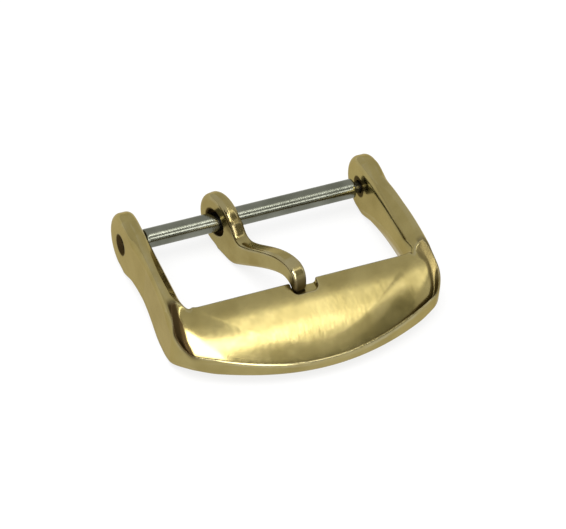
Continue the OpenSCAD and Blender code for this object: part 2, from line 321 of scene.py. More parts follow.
def edge_radius(x, fwd, up):
    """How round the frame's outer edges are, from the knobs to the plate."""
    ax = np.abs(x)
    front = ramp(fwd, *PLATE_FADE)
    back = 1 - ramp(fwd, *KNOB_FADE)
    above = ARM_ROUND + (RIM_ROUND - ARM_ROUND) * front
    above = above + (KNOB_ROUND - above) * back
    below = UNDER_ROUND + (TOE_ROUND - UNDER_ROUND) * front
    below = below + (KNOB_ROUND - below) * back
    corner = ramp(ax, *CORNER_FADE_OUT) * ramp(fwd, *CORNER_FADE_FWD)
    below = below + CORNER_UNDER_ROUND * corner
    low = EDGE_FADE_LOW + ARM_FADE_RISE * (1 - front)
    return below + (above - below) * ramp(up, low, EDGE_FADE_HIGH)


def arm_bevel(x, fwd, up):
    """The slanted inner face of the arms, which fades out over the plate."""
    ax = np.abs(x)
    along = np.minimum(fwd, WINDOW_L) / (WINDOW_L - WINDOW_R)
    low = CREST_H - BEVEL_BACK - (BEVEL_FRONT - BEVEL_BACK) * along
    low = low + BEVEL_END_RISE * ramp(fwd, WINDOW_L - BEVEL_END_L, WINDOW_L)
    low = low + BEVEL_OUT_RISE * ramp(fwd, WINDOW_L, WINDOW_L + BEVEL_OUT_L)
    low = low + ramp(HALF_IN - ax, *BEVEL_INNER_FADE)
    out_x = np.maximum(ax - HALF_IN, -BEVEL_REACH)
    return (up - low) * math.cos(BEVEL_LEAN) - out_x * math.sin(BEVEL_LEAN)


def plate_hollow(x, fwd, up, bow):
    """The room under the plate."""
    shell = np.hypot(fwd - CREST_L, up - CROWN_UP) - FACE_R + PLATE_T
    room = both(both(shell, np.abs(x) - HALF_IN, HOLLOW_CORNER), bow + LIP_W, HOLLOW_CORNER)
    return both(room, WINDOW_L - WINDOW_R - fwd, SHARP_ROUND)


def arm_scoop(x, fwd, up, bow):
    """The slanted hollow that thins the arms from below, towards the plate."""
    ax = np.abs(x)
    scoop_x = ax - HALF_OUT + FLARE + FOOT_W
    scoop_n = scoop_x * math.sin(under_lean) + (up + AXIS_Z) * math.cos(under_lean)
    scoop = np.hypot(scoop_n + UNDER_R, fwd - HEEL_L) - UNDER_R
    return both(both(scoop, HALF_IN - SCOOP_INSET - ax, SHARP_ROUND), bow + LIP_W, HOLLOW_CORNER)


def frame_field(x, fwd, up):
    """The whole frame."""
    ax = np.abs(x)
    bow = np.hypot(x, fwd - BOW_L) - BOW_R
    plan = outer_plan(x, fwd)
    solid = both(plan, side_profile(x, fwd, up), edge_radius(x, fwd, up))
    window = both(ax - HALF_IN, fwd - WINDOW_L, WINDOW_R)
    back = 1 - ramp(fwd, *KNOB_FADE)
    solid = both(solid, -window, INNER_ROUND + (KNOB_ROUND - INNER_ROUND) * back)
    solid = both(solid, arm_bevel(x, fwd, up), BEVEL_ROUND)
    side = ramp(ax - HALF_OUT - bow, *SIDE_FADE)
    solid = both(solid, -face_pocket(x, fwd, up, plan, side), POCKET_ROUND)
    solid = both(solid, -plate_hollow(x, fwd, up, bow), HOLLOW_ROUND)
    solid = both(solid, -arm_scoop(x, fwd, up, bow), HOLLOW_ROUND)
    groove = both(ax - GROOVE_W / 2, fwd - WINDOW_L - GROOVE_L, GROOVE_CORNER)
    groove = both(groove, GROOVE_UP - up, GROOVE_FLOOR_ROUND)
    solid = both(solid, -groove, GROOVE_EDGE_ROUND)
    face_x = HALF_OUT - FLARE
    mouth = np.clip(ax - face_x + MOUTH_W, 0, 1) * (MOUTH_R - HOLE_R) / MOUTH_W
    hole = np.hypot(fwd, up) - HOLE_R - mouth
    solid = both(solid, -hole, HOLE_ROUND)
    return np.maximum(solid, -up - AXIS_Z)


def wall_painted_shade(x, fwd, up):
    """1 on the inner wall of the rim at the plate's ends: painted shade, stronger on the left
    than on the right.
    """
    left = x < 0
    bow = np.hypot(x, fwd - BOW_L) - BOW_R
    end = np.abs(x) - HALF_OUT - bow
    side = ramp(end, *SHADE_END_FADE) * ramp(fwd, *SHADE_BACK_FADE)
    inset = outer_plan(x, fwd)
    left_broad = LEFT_BREADTH + LEFT_BREADTH_RISE * ramp(fwd, *LEFT_BREADTH_FADE)
    start = ramp(fwd, *RIGHT_START_FADE) * (1 - ramp(fwd, *RIGHT_END_FADE))
    broad = np.where(left, left_broad, RIGHT_BREADTH + RIGHT_BREADTH_RISE * start)
    foot = -RIM_FRONT - broad * ramp(end, *SHADE_NARROWING)
    left_crest = LEFT_CREST + LEFT_CREST_RISE * ramp(fwd, *LEFT_CREST_FADE)
    crest = np.where(left, left_crest, RIGHT_CREST)
    above_foot = ramp(inset, foot, foot + SHADE_FOOT_FADE)
    wall = above_foot * (1 - ramp(inset, crest, crest + SHADE_CREST_FADE))
    height = ramp(up + AXIS_Z, *SHADE_HEIGHT_FADE)
    return side * wall * height * np.where(left, 1, RIGHT_SHADE)


# Meshing


def surface_net(field, low, high, step):
    """A closed quad mesh where the field is zero, pulled onto it."""
    axes = [np.arange(low[i], high[i] + step, step) for i in range(3)]
    values = field(*np.meshgrid(*axes, indexing="ij"))
    inside = values < 0
    counts = np.zeros([n - 1 for n in inside.shape], np.int8)
    corners = [(i, j, k) for i in (0, 1) for j in (0, 1) for k in (0, 1)]
    nx, ny, nz = inside.shape
    for i, j, k in corners:
        counts += inside[i:nx - 1 + i, j:ny - 1 + j, k:nz - 1 + k]
    cells = (counts > 0) & (counts < 8)
    index = np.full(cells.shape, -1, np.int64)
    found = np.argwhere(cells)
    index[cells] = np.arange(len(found))
    total = np.zeros((len(found), 3))
    hits = np.zeros(len(found))
    ci, cj, ck = found.T
    for a in range(8):
        for b in range(a + 1, 8):
            if sum(abs(p - q) for p, q in zip(corners[a], corners[b])) != 1:
                continue
            va = values[ci + corners[a][0], cj + corners[a][1], ck + corners[a][2]]
            vb = values[ci + corners[b][0], cj + corners[b][1], ck + corners[b][2]]
            cross = (va < 0) != (vb < 0)
            t = np.where(cross, va / np.where(cross, va - vb, 1), 0)
            point = np.array(corners[a], float) + t[:, None] * np.subtract(corners[b], corners[a])
            total[cross] += point[cross]
            hits[cross] += 1
    verts = (found + total / hits[:, None]) * step + [ax[0] for ax in axes]
    quads = []
    for axis in range(3):
        lower = [slice(None)] * 3
        upper = [slice(None)] * 3
        lower[axis] = slice(0, -1)
        upper[axis] = slice(1, None)
        first = inside[tuple(lower)]
        edges = np.argwhere(first != inside[tuple(upper)])
        one, two = [n for n in range(3) if n != axis]
        if axis == 1:
            one, two = two, one
        around = []
        for d1, d2 in ((1, 1), (0, 1), (0, 0), (1, 0)):
            p = edges.copy()
            p[:, one] -= d1
            p[:, two] -= d2
            around.append(index[p[:, 0], p[:, 1], p[:, 2]])
        quad = np.stack(around, 1)
        flip = ~first[edges[:, 0], edges[:, 1], edges[:, 2]]
        quad[flip] = quad[flip][:, ::-1]
        quads.append(quad)
    for _ in range(3):
        slope, value = gradient(field, verts, step * 0.1)
        verts -= slope * (value / np.maximum((slope ** 2).sum(1), 0.2))[:, None]
    return verts, np.concatenate(quads)


def gradient(field, points, step):
    """The field's slope and value at points."""
    slope = np.empty_like(points)
    for axis in range(3):
        shift = np.zeros(3)
        shift[axis] = step
        ahead = field(*(points + shift).T)
        behind = field(*(points - shift).T)
        slope[:, axis] = (ahead - behind) / (2 * step)
    return slope, field(*points.T)


def bend_of(field, points, step):
    """How sharply the surface bends at points: above zero on edges, below in corners."""
    total = -6 * field(*points.T)
    for axis in range(3):
        shift = np.zeros(3)
        shift[axis] = step
        total += field(*(points + shift).T) + field(*(points - shift).T)
    return total / step ** 2


def paint(obj, name, values):
    """Stores one value for each point, for the material to read."""
    layer = obj.data.attributes.new(name, "FLOAT", "POINT")
    layer.data.foreach_set("value", np.clip(values, 0, 1).astype(np.float32))


def add_mesh(name, verts, faces, material, normals=None):
    """A smooth mesh object from points in metres."""
    mesh = bpy.data.meshes.new(name)
    mesh.from_pydata(verts.tolist(), [], faces.tolist() if hasattr(faces, "tolist") else faces)
    mesh.update()
    mesh.shade_smooth()
    if normals is not None:
        mesh.normals_split_custom_set_from_vertices(normals.tolist())
    mesh.materials.append(material)
    obj = bpy.data.objects.new(name, mesh)
    bpy.context.scene.collection.objects.link(obj)
    return obj


# Materials, with scales for coordinates in metres

CLOUD_SCALE = 420
RUBBED_SCALE = 900
HAZE_SCALE = 1500
LINE_SCALE = 2600
LINE_DEPTH = 0.00004
# how far the painted shade in corners reaches
SHADE_REACH = 0.0007
BORE_FADE_MM = 0.12
SHADED_ROUGHNESS = 0.5
WORN_ROUGHNESS = 0.3
# the painted shade keeps this share of the dark colour
SHADE_SHARE = (0.15, 0.12, 0.12)


def new_material(name):
    """An empty node material and its nodes and links."""
    material = bpy.data.materials.new(name)
    material.use_nodes = True
    nodes = material.node_tree.nodes
    nodes.clear()
    out = nodes.new("ShaderNodeOutputMaterial")
    return material, nodes, material.node_tree.links, out


def math_node(nodes, links, operation, one, two):
    """One arithmetic step on two linked values."""
    node = nodes.new("ShaderNodeMath")
    node.operation = operation
    links.new(one, node.inputs[0])
    links.new(two, node.inputs[1])
    return node.outputs["Value"]


def noise(nodes, links, coords, scale, detail, stretch=(1, 1, 1)):
    """Noise over the object's own coordinates."""
    mapping = nodes.new("ShaderNodeMapping")
    mapping.inputs["Scale"].default_value = stretch
    links.new(coords, mapping.inputs["Vector"])
    tex = nodes.new("ShaderNodeTexNoise")
    tex.inputs["Scale"].default_value = scale
    tex.inputs["Detail"].default_value = detail
    links.new(mapping.outputs["Vector"], tex.inputs["Vector"])
    return tex.outputs["Fac"]


def span(nodes, links, value, low, high, start=0.3, end=0.7):
    """Maps a noise value from start and end to low and high."""
    node = nodes.new("ShaderNodeMapRange")
    node.inputs["From Min"].default_value = start
    node.inputs["From Max"].default_value = end
    node.inputs["To Min"].default_value = low
    node.inputs["To Max"].default_value = high
    links.new(value, node.inputs["Value"])
    return node.outputs["Result"]


def blend(nodes, links, factor, first, second):
    """Mixes two colours, each either a plain value or a link."""
    mix = nodes.new("ShaderNodeMix")
    mix.data_type = "RGBA"
    for name, colour in (("A", first), ("B", second)):
        if isinstance(colour, tuple):
            mix.inputs[name].default_value = (*colour, 1)
        else:
            links.new(colour, mix.inputs[name])
    links.new(factor, mix.inputs["Factor"])
    return mix.outputs["Result"]


def painted(nodes, name):
    """A value stored on the mesh's points."""
    node = nodes.new("ShaderNodeAttribute")
    node.attribute_name = name
    return node.outputs["Fac"]


def around_bar(nodes, links, coords, radius):
    """1 close to the bar's axis, 0 beyond a radius in millimetres; used for painted shade in the
    holes and bores.
    """
    mapping = nodes.new("ShaderNodeMapping")
    mapping.inputs["Location"].default_value = (0, -AXIS_Y * MM, -AXIS_Z * MM)
    mapping.inputs["Scale"].default_value = (0, 1, 1)
    links.new(coords, mapping.inputs["Vector"])
    length = nodes.new("ShaderNodeVectorMath")
    length.operation = "LENGTH"
    links.new(mapping.outputs["Vector"], length.inputs[0])
    return span(nodes, links, length.outputs["Value"], 1, 0, radius * MM,
                (radius + BORE_FADE_MM) * MM)


def metal_colours(nodes, links, coords, light, dark, worn):
    """A cloudy colour, paler on rubbed edges, and how worn each place is."""
    cloud = span(nodes, links, noise(nodes, links, coords, CLOUD_SCALE, 4), 0, 1, 0.35, 0.6)
    colour = blend(nodes, links, cloud, dark, light)
    rubbed = span(nodes, links, noise(nodes, links, coords, RUBBED_SCALE, 4), 0.2, 1)
    wear = math_node(nodes, links, "MULTIPLY", painted(nodes, "wear"), rubbed)
    return blend(nodes, links, wear, colour, worn), wear


def metal_painted_shade(nodes, links, coords, bore_shade_radius):
    """Painted shade: in tight corners, around the bar's axis in the holes and bores, and where it
    is painted on the mesh.
    """
    shade = nodes.new("ShaderNodeAmbientOcclusion")
    shade.inputs["Distance"].default_value = SHADE_REACH
    shade.samples = 8
    corners = span(nodes, links, shade.outputs["AO"], 1, 0, 0.25, 0.8)
    shade_mask = math_node(nodes, links, "MAXIMUM", corners, around_bar(nodes, links, coords, bore_shade_radius))
    return math_node(nodes, links, "MAXIMUM", shade_mask, painted(nodes, "painted_shade"))


def metal_roughness(nodes, links, coords, rough, shade_mask, wear):
    """A haze over the polish, rougher where shade is painted and where the metal is worn."""
    haze = span(nodes, links, noise(nodes, links, coords, HAZE_SCALE, 3), *rough)
    shaded = span(nodes, links, shade_mask, 0, SHADED_ROUGHNESS, 0, 1)
    worn = span(nodes, links, wear, 0, WORN_ROUGHNESS, 0, 1)
    return math_node(nodes, links, "MAXIMUM",
                     math_node(nodes, links, "MAXIMUM", haze, shaded), worn)


def metal_lines(nodes, links, coords, grain, stretch):
    """Fine polishing lines as a bump."""
    bump = nodes.new("ShaderNodeBump")
    bump.inputs["Strength"].default_value = grain
    bump.inputs["Distance"].default_value = LINE_DEPTH
    links.new(noise(nodes, links, coords, LINE_SCALE, 3, stretch), bump.inputs["Height"])
    return bump.outputs["Normal"]


def polished_metal(name, light, dark, rough, grain, stretch, bore_shade_radius, tint, worn):
    """A polished metal, cloudy, finely lined, worn on its edges, with painted shade in its
    corners, holes and bores.
    """
    material, nodes, links, out = new_material(name)
    shader = nodes.new("ShaderNodeBsdfPrincipled")
    shader.inputs["Metallic"].default_value = 1.0
    shader.inputs["Specular Tint"].default_value = (*tint, 1)
    coords = nodes.new("ShaderNodeTexCoord").outputs["Object"]
    colour, wear = metal_colours(nodes, links, coords, light, dark, worn)
    shade_mask = metal_painted_shade(nodes, links, coords, bore_shade_radius)
    # the painted shade's colour, a share of the dark colour
    shaded = tuple(c * share for c, share in zip(dark, SHADE_SHARE))
    links.new(blend(nodes, links, shade_mask, colour, shaded), shader.inputs["Base Color"])
    roughness = metal_roughness(nodes, links, coords, rough, shade_mask, wear)
    links.new(roughness, shader.inputs["Roughness"])
    links.new(metal_lines(nodes, links, coords, grain, stretch), shader.inputs["Normal"])
    links.new(shader.outputs["BSDF"], out.inputs["Surface"])
    return material


GOLD_TINT = (0.75, 0.68, 0.52)
STEEL_TINT = (0.8, 0.8, 0.76)
WORN_STEEL = (0.3, 0.3, 0.28)

gold = polished_metal(
    "polished_gold", light=(0.34, 0.28, 0.115), dark=(0.29, 0.235, 0.09), rough=(0.14, 0.2),
    grain=0.1, stretch=(1, 0.25, 1), bore_shade_radius=0.8, tint=GOLD_TINT, worn=(0.42, 0.38, 0.24))
tongue_gold = polished_metal(
    "tongue_gold", light=(0.33, 0.275, 0.12), dark=(0.27, 0.215, 0.085), rough=(0.14, 0.22),
    grain=0.1, stretch=(1, 0.3, 1), bore_shade_radius=1.1, tint=GOLD_TINT, worn=(0.42, 0.38, 0.25))
steel = polished_metal(
    "turned_steel", light=(0.19, 0.195, 0.16), dark=(0.135, 0.14, 0.11), rough=(0.13, 0.19),
    grain=0.2, stretch=(4, 1, 1), bore_shade_radius=0.4, tint=STEEL_TINT, worn=WORN_STEEL)
# the bar's steel darkened to a painted shade for the pins where they enter the holes
pin_steel_painted_shade = polished_metal(
    "pin_steel_painted_shade", light=(0.1, 0.1, 0.085), dark=(0.06, 0.06, 0.05), rough=(0.2, 0.3),
    grain=0.2, stretch=(4, 1, 1), bore_shade_radius=0.2, tint=STEEL_TINT, worn=WORN_STEEL)
spring_steel = polished_metal(
    "spring_steel", light=(0.3, 0.3, 0.29), dark=(0.2, 0.2, 0.19), rough=(0.2, 0.3),
    grain=0.1, stretch=(1, 1, 1), bore_shade_radius=0.1, tint=STEEL_TINT, worn=WORN_STEEL)


# Pieces


def to_metres(points):
    """From x, fwd and up in millimetres to the CAD frame in metres."""
    height = np.maximum(points[:, 2] + AXIS_Z, 0)
    return np.stack([points[:, 0], AXIS_Y - points[:, 1], height], 1) * MM


def build_frame():
    """The one-piece frame."""
    step = FRAME_STEP
    low = (-HALF_OUT - ROOM, -KNOB_R - ROOM, -AXIS_Z - ROOM)
    high = (HALF_OUT + ROOM, FRONT_L + ROOM, CREST_H + ROOM)
    verts, quads = surface_net(frame_field, low, high, step)
    slope, _ = gradient(frame_field, verts, FRAME_NORMAL_STEP)
    normals = slope * [1, -1, 1]
    normals /= np.linalg.norm(normals, axis=1)[:, None]
    obj = add_mesh("buckle_frame", to_metres(verts), quads[:, ::-1], gold, normals)
    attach(obj, "frame")
    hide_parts("frame")
    bend = bend_of(frame_field, verts, WEAR_STEP)
    paint(obj, "wear", WEAR * ramp(bend, *FRAME_WEAR_BEND))
    # painted shade on the rim's inner walls, stored as a value for the material
    paint(obj, "painted_shade", wall_painted_shade(*verts.T))


def cubic(p, count=40):
    """The points of a cubic curve with four control points, without its first one."""
    t = np.linspace(0, 1, count + 1)[1:, None]
    p = np.array(p, float)
    return ((1 - t) ** 3 * p[0] + 3 * (1 - t) ** 2 * t * p[1]
            + 3 * (1 - t) * t * t * p[2] + t ** 3 * p[3])


def tongue_outline():
    """The tongue from the side: forward length, height above the bar's axis."""
    root_l = math.sqrt(EYE_R ** 2 - (EYE_R / 2) ** 2)
    root = (root_l, EYE_R / 2)
    neck = (NECK_L, NECK_H)
    hump_l = WINDOW_L - HUMP_BACK
    hump = (hump_l, HUMP_H)
    tip_l = WINDOW_L + GROOVE_L - TIP_SPACE
    tip_up = GROOVE_UP + TIP_GAP
    belly_l = tip_l - TIP_T
    belly_up = HUMP_H - TONGUE_H
    bend = (hump_l - 0.3, belly_up - 0.05)
    chin = (NECK_L - TONGUE_H / 3, NECK_H - 1.8 * TONGUE_H)
    foot = (EYE_R / 4, -EYE_R * 0.966)
    lines = [
        cubic([root, (root_l * 1.2, NECK_H + 0.2), (NECK_L - 0.5, NECK_H), neck]),
        cubic([neck, (NECK_L + 1.2, NECK_H + 0.2), (hump_l - 2.2, HUMP_H - 0.1), hump]),
        cubic([hump, (hump_l + 1, HUMP_H), (tip_l, HUMP_H - 0.8), (tip_l, tip_up)]),
        [(belly_l, tip_up)],
        cubic([(belly_l, tip_up), (belly_l, belly_up - 0.3), (hump_l + 0.45, belly_up + 0.1),
               bend]),
        cubic([bend, (hump_l - 1.8, belly_up - 0.5), (NECK_L + 1.3, NECK_H - 1.3), chin]),
        cubic([chin, (chin[0] - 0.9, chin[1] - 0.5), (EYE_R / 2, -EYE_R), foot]),
        [(0, 0)],
    ]
    return np.concatenate([[root]] + lines)


def polygon_distance(points, outline):
    """Signed distance from points to a closed outline."""
    best = np.full(len(points), 1e9)
    inside = np.zeros(len(points), bool)
    for p, q in zip(outline, np.roll(outline, -1, axis=0)):
        edge = q - p
        length = max(edge @ edge, 1e-12)
        off = points - p
        t = np.clip(off @ edge / length, 0, 1)
        best = np.minimum(best, ((off - t[:, None] * edge) ** 2).sum(1))
        above = (p[1] > points[:, 1]) != (q[1] > points[:, 1])
        rise = edge[1] if edge[1] else 1e-12
        crossing = points[:, 0] < p[0] + edge[0] * (points[:, 1] - p[1]) / rise
        inside ^= above & crossing
    return np.where(inside, -1, 1) * np.sqrt(best)


def table_lookup(low, step, table):
    """Smooth reading of a table over forward length and height."""
    def read(a, b):
        u = np.clip((a - low[0]) / step, 0, table.shape[0] - 1.001)
        v = np.clip((b - low[1]) / step, 0, table.shape[1] - 1.001)
        i, j = u.astype(int), v.astype(int)
        s, t = u - i, v - j
        return ((1 - s) * (1 - t) * table[i, j] + s * (1 - t) * table[i + 1, j]
                + (1 - s) * t * table[i, j + 1] + s * t * table[i + 1, j + 1])
    return read


def tongue_painted_shade(fwd, up):
    """Painted shade, a dull brown, in the bend above the eye and on the nose that sits in the
    groove.
    """
    near_eye = 1 - ramp(np.hypot(fwd, up), *BEND_REACH_FADE)
    bend = near_eye * ramp(fwd, *BEND_FWD_FADE) * ramp(up, *BEND_UP_FADE)
    nose = ramp(fwd, *NOSE_FWD_FADE) * (1 - ramp(up, *NOSE_UP_FADE))
    return np.maximum(BEND_SHADE * bend, NOSE_SHADE * nose)


def build_tongue():
    """The tongue: an eye about the bar, a neck, a hump and a tip in the groove."""
    axes = [np.arange(TABLE_LOW[i], TABLE_HIGH[i], TABLE_STEP) for i in (0, 1)]
    a, b = np.meshgrid(*axes, indexing="ij")
    flat = polygon_distance(np.stack([a.ravel(), b.ravel()], 1), tongue_outline())
    arm = table_lookup(TABLE_LOW, TABLE_STEP, flat.reshape(a.shape))

    def field(w, fwd, up):
        radius = np.hypot(fwd, up)
        side = either(arm(fwd, up), radius - EYE_R, EYE_BLEND)
        side = both(side, up - HUMP_H, HUMP_ROUND)
        half = TONGUE_T / 2
        edge = TONGUE_ROUND + EYE_EXTRA_ROUND * (1 - ramp(fwd, *EYE_ROUND_FADE))
        whole = both(side, np.abs(w) - half, edge)
        return both(whole, EYE_BORE_R - radius, BORE_ROUND)

    grid = TONGUE_STEP
    box_low = (-TONGUE_T / 2 - ROOM, -EYE_R - ROOM, -EYE_R - ROOM)
    box_high = (TONGUE_T / 2 + ROOM, TONGUE_REACH, HUMP_H + ROOM)
    verts, quads = surface_net(field, box_low, box_high, grid)
    normals, _ = gradient(field, verts, TONGUE_NORMAL_STEP)
    turn = Matrix.Rotation(TONGUE_YAW, 3, "Z")
    spin = np.array(turn)
    place = Vector((-EYE_OFFSET, AXIS_Y, AXIS_Z))
    points = (verts * [1, -1, 1]) @ spin.T + np.array(place)
    normals = (normals * [1, -1, 1]) @ spin.T
    normals /= np.linalg.norm(normals, axis=1)[:, None]
    obj = add_mesh("tongue_body", points * MM, quads[:, ::-1], tongue_gold, normals)
    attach(obj, "tongue")
    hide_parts("tongue")
    paint(obj, "wear", WEAR * ramp(bend_of(field, verts, WEAR_STEP), *TONGUE_WEAR_BEND))
    # painted shade on the tongue's bend and nose, stored as a value for the material
    paint(obj, "painted_shade", tongue_painted_shade(verts[:, 1], verts[:, 2]))


def turned(name, profile, material, count=96):
    """A piece turned about the bar's axis from places and radii along X."""
    angles = np.linspace(0, 2 * math.pi, count, endpoint=False)
    verts = []
    for x, r in profile:
        for t in angles:
            verts.append((x, AXIS_Y + r * math.cos(t), AXIS_Z + r * math.sin(t)))
    faces = []
    rings = len(profile)
    for i in range(rings):
        j = (i + 1) % rings
        for k in range(count):
            m = (k + 1) % count
            faces.append((i * count + k, j * count + k, j * count + m, i * count + m))
    return add_mesh(name, np.array(verts) * MM, faces, material)


def rounded(x, r, turn_from, turn_to, size, count=6):
    """Places and radii along a quarter of a circle, between two angles in degrees."""
    steps = [math.radians(turn_from + (turn_to - turn_from) * i / count)
             for i in range(count + 1)]
    return [(x + size * math.cos(t), r + size * math.sin(t)) for t in steps]


def build_tube():
    """The bar's tube with rounded ends that close in around the pins."""
    inner = TUBE_R - TUBE_WALL
    lip_r = (PIN_R + inner) / 2
    lip_in = TUBE_HALF - LIP_L
    right = [(lip_in, inner), (lip_in, lip_r + 0.02)]
    right += rounded(TUBE_HALF - LIP_ROUND, lip_r + LIP_ROUND, -90, 0, LIP_ROUND, 3)
    right += rounded(TUBE_HALF - TUBE_ROUND, TUBE_R - TUBE_ROUND, 0, 90, TUBE_ROUND, 6)
    outside = [(x, TUBE_R) for x in np.linspace(TUBE_HALF - 0.3, -TUBE_HALF + 0.3, 30)]
    left = [(-x, r) for x, r in reversed(right)]
    inside = [(x, inner) for x in np.linspace(-lip_in + 0.1, lip_in - 0.1, 8)]
    obj = turned("bar_tube_turned", right + outside + left + inside, steel)
    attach(obj, "bar")
    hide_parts("bar_tube")


def build_tip(side, body):
    """One sprung end: a pin with a chamfered nose, a shoulder and a head."""
    head_out = TUBE_HALF - LIP_L - RUNNING_GAP
    head_r = TUBE_R - TUBE_WALL - RUNNING_GAP
    profile = [(HEAD_IN, 0.001)]
    back = HEAD_BACK_ROUND
    profile += rounded(HEAD_IN + back, head_r - back, 180, 90, back, 3)
    profile += rounded(head_out - HEAD_ROUND, head_r - HEAD_ROUND, 90, 0, HEAD_ROUND, 3)
    profile += [(head_out, PIN_R + SHOULDER), (head_out + SHOULDER, PIN_R)]
    profile += [(x, PIN_R) for x in np.linspace(head_out + 0.1, PIN_END - 0.22, 10)]
    profile += rounded(PIN_END - NOSE_ROUND, PIN_R - NOSE_ROUND, 90, 20, NOSE_ROUND, 5)
    profile += [(PIN_END - 0.01, PIN_R - 0.2), (PIN_END, 0.1), (PIN_END, 0.001)]
    if side < 0:
        profile = [(-x, r) for x, r in reversed(profile)]
    obj = turned(body + "_pin", profile, pin_steel_painted_shade, 64)
    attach(obj, body)
    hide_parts(body)


def build_spring_half(side, name):
    """Half of the coil spring, from the bar's middle to one tip, which presses it together."""
    spring_end = HEAD_IN - RUNNING_GAP
    coil_half = spring_end - WIRE_R
    coil_r = TUBE_R - TUBE_WALL - 2 * RUNNING_GAP - WIRE_R
    sides = SPRING_SIDES
    rings = SPRING_TURNS // 2 * SPRING_TURN_STEPS
    start, end = sorted((0, side * coil_half))
    verts = []
    for x in np.linspace(start, end, rings + 1):
        turn = math.pi * SPRING_TURNS * x / coil_half
        for a in np.linspace(0, 2 * math.pi, sides, endpoint=False):
            r = coil_r + WIRE_R * math.cos(a)
            verts.append((x + WIRE_R * math.sin(a), AXIS_Y + r * math.cos(turn),
                          AXIS_Z + r * math.sin(turn)))
    faces = []
    for i in range(rings):
        for k in range(sides):
            one, two = i * sides + k, i * sides + (k + 1) % sides
            faces.append((one, one + sides, two + sides, two))
    last = rings * sides
    faces.append(tuple(range(sides)))
    faces.append(tuple(last + k for k in reversed(range(sides))))
    obj = add_mesh(name, np.array(verts) * MM, faces, spring_steel)
    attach(obj, "bar")
    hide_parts("bar_spring")
    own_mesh(obj)


build_frame()
build_tongue()
build_tube()
build_tip(-1, "left_tip")
build_tip(1, "right_tip")
build_spring_half(-1, "left_spring_half")
build_spring_half(1, "right_spring_half")


# Stage and lights, with lengths in metres and angles in degrees

FLOOR_HALF = 3.0
FLOOR_COLOUR = (0.9, 0.9, 0.9, 1)
FLOOR_GLOW = 0.8
WORLD_COLOUR = (0.8, 0.8, 0.8, 1)
DOME_DISTANCE = 0.6
CARD_DISTANCE = 0.5
LEFT_CARD_DISTANCE = 0.51
FLAG_DISTANCE = 0.52
WHITE = (1, 1, 1)
WARM_WHITE = (1, 1, 0.97)
KEY_SIZE = (0.5, 0.4)
KEY_ENERGY = 3.0
KEY_PLACE = (-0.15, -0.1, 0.55)
KEY_AIM = (0, 0, 0.002)


def emission(name, colour, strength):
    """A plain lit surface."""
    material, nodes, links, out = new_material(name)
    glow = nodes.new("ShaderNodeEmission")
    glow.inputs["Color"].default_value = (*colour, 1)
    glow.inputs["Strength"].default_value = strength
    links.new(glow.outputs["Emission"], out.inputs["Surface"])
    return material


def backdrop_rays(nodes, links):
    """1 for the rays that show the background: camera, mirror and glass rays."""
    path = nodes.new("ShaderNodeLightPath")
    total = path.outputs["Is Camera Ray"]
    for name in ("Is Glossy Ray", "Is Transmission Ray"):
        total = math_node(nodes, links, "MAXIMUM", total, path.outputs[name])
    return total


def build_floor():
    """A white floor that keeps the buckle's shadow."""
    material, nodes, links, out = new_material("white_floor")
    matt = nodes.new("ShaderNodeBsdfDiffuse")
    matt.inputs["Color"].default_value = FLOOR_COLOUR
    glow = nodes.new("ShaderNodeEmission")
    glow.inputs["Strength"].default_value = 1.0
    part = nodes.new("ShaderNodeMath")
    part.operation = "MULTIPLY"
    part.inputs[1].default_value = FLOOR_GLOW
    links.new(backdrop_rays(nodes, links), part.inputs[0])
    mix = nodes.new("ShaderNodeMixShader")
    links.new(part.outputs["Value"], mix.inputs["Fac"])
    links.new(matt.outputs["BSDF"], mix.inputs[1])
    links.new(glow.outputs["Emission"], mix.inputs[2])
    links.new(mix.outputs["Shader"], out.inputs["Surface"])
    half = FLOOR_HALF
    verts = np.array([(-half, -half, 0), (half, -half, 0), (half, half, 0), (-half, half, 0)])
    floor = add_mesh("floor", verts, [(0, 1, 2, 3)], material)


def build_world():
    """White for the rays that show the background, soft grey light for the rest."""
    world = bpy.data.worlds.new("studio")
    bpy.context.scene.world = world
    world.use_nodes = True
    nodes = world.node_tree.nodes
    links = world.node_tree.links
    nodes.clear()
    soft = nodes.new("ShaderNodeBackground")
    soft.inputs["Color"].default_value = WORLD_COLOUR
    white = nodes.new("ShaderNodeBackground")
    mix = nodes.new("ShaderNodeMixShader")
    out = nodes.new("ShaderNodeOutputWorld")
    links.new(backdrop_rays(nodes, links), mix.inputs["Fac"])
    links.new(soft.outputs["Background"], mix.inputs[1])
    links.new(white.outputs["Background"], mix.inputs[2])
    links.new(mix.outputs["Shader"], out.inputs["Surface"])


def direction(azimuth, elevation, distance):
    """A place seen from the buckle: azimuth 0 is the front, 90 its right."""
    a, e = math.radians(azimuth), math.radians(elevation)
    return Vector((distance * math.sin(a) * math.cos(e), -distance * math.cos(a) * math.cos(e),
                   distance * math.sin(e)))


def show_in_reflections_only(obj):
    """Hides a card from the camera, and keeps its light and shadow off matt surfaces."""
    obj.visible_camera = False
    obj.visible_shadow = False
    obj.visible_diffuse = False


def card(name, azimuths, elevations, distance, grey, strength, count=12):
    """A curved studio card on a dome around the buckle, seen in reflections only."""
    verts = []
    for e in np.linspace(*elevations, count + 1):
        for a in np.linspace(*azimuths, count + 1):
            verts.append(direction(a, e, distance))
    faces = []
    row = count + 1
    for i in range(count):
        for j in range(count):
            k = i * row + j
            faces.append((k, k + row, k + row + 1, k + 1))
    obj = add_mesh(name, np.array(verts), faces, emission(name, grey, strength))
    show_in_reflections_only(obj)


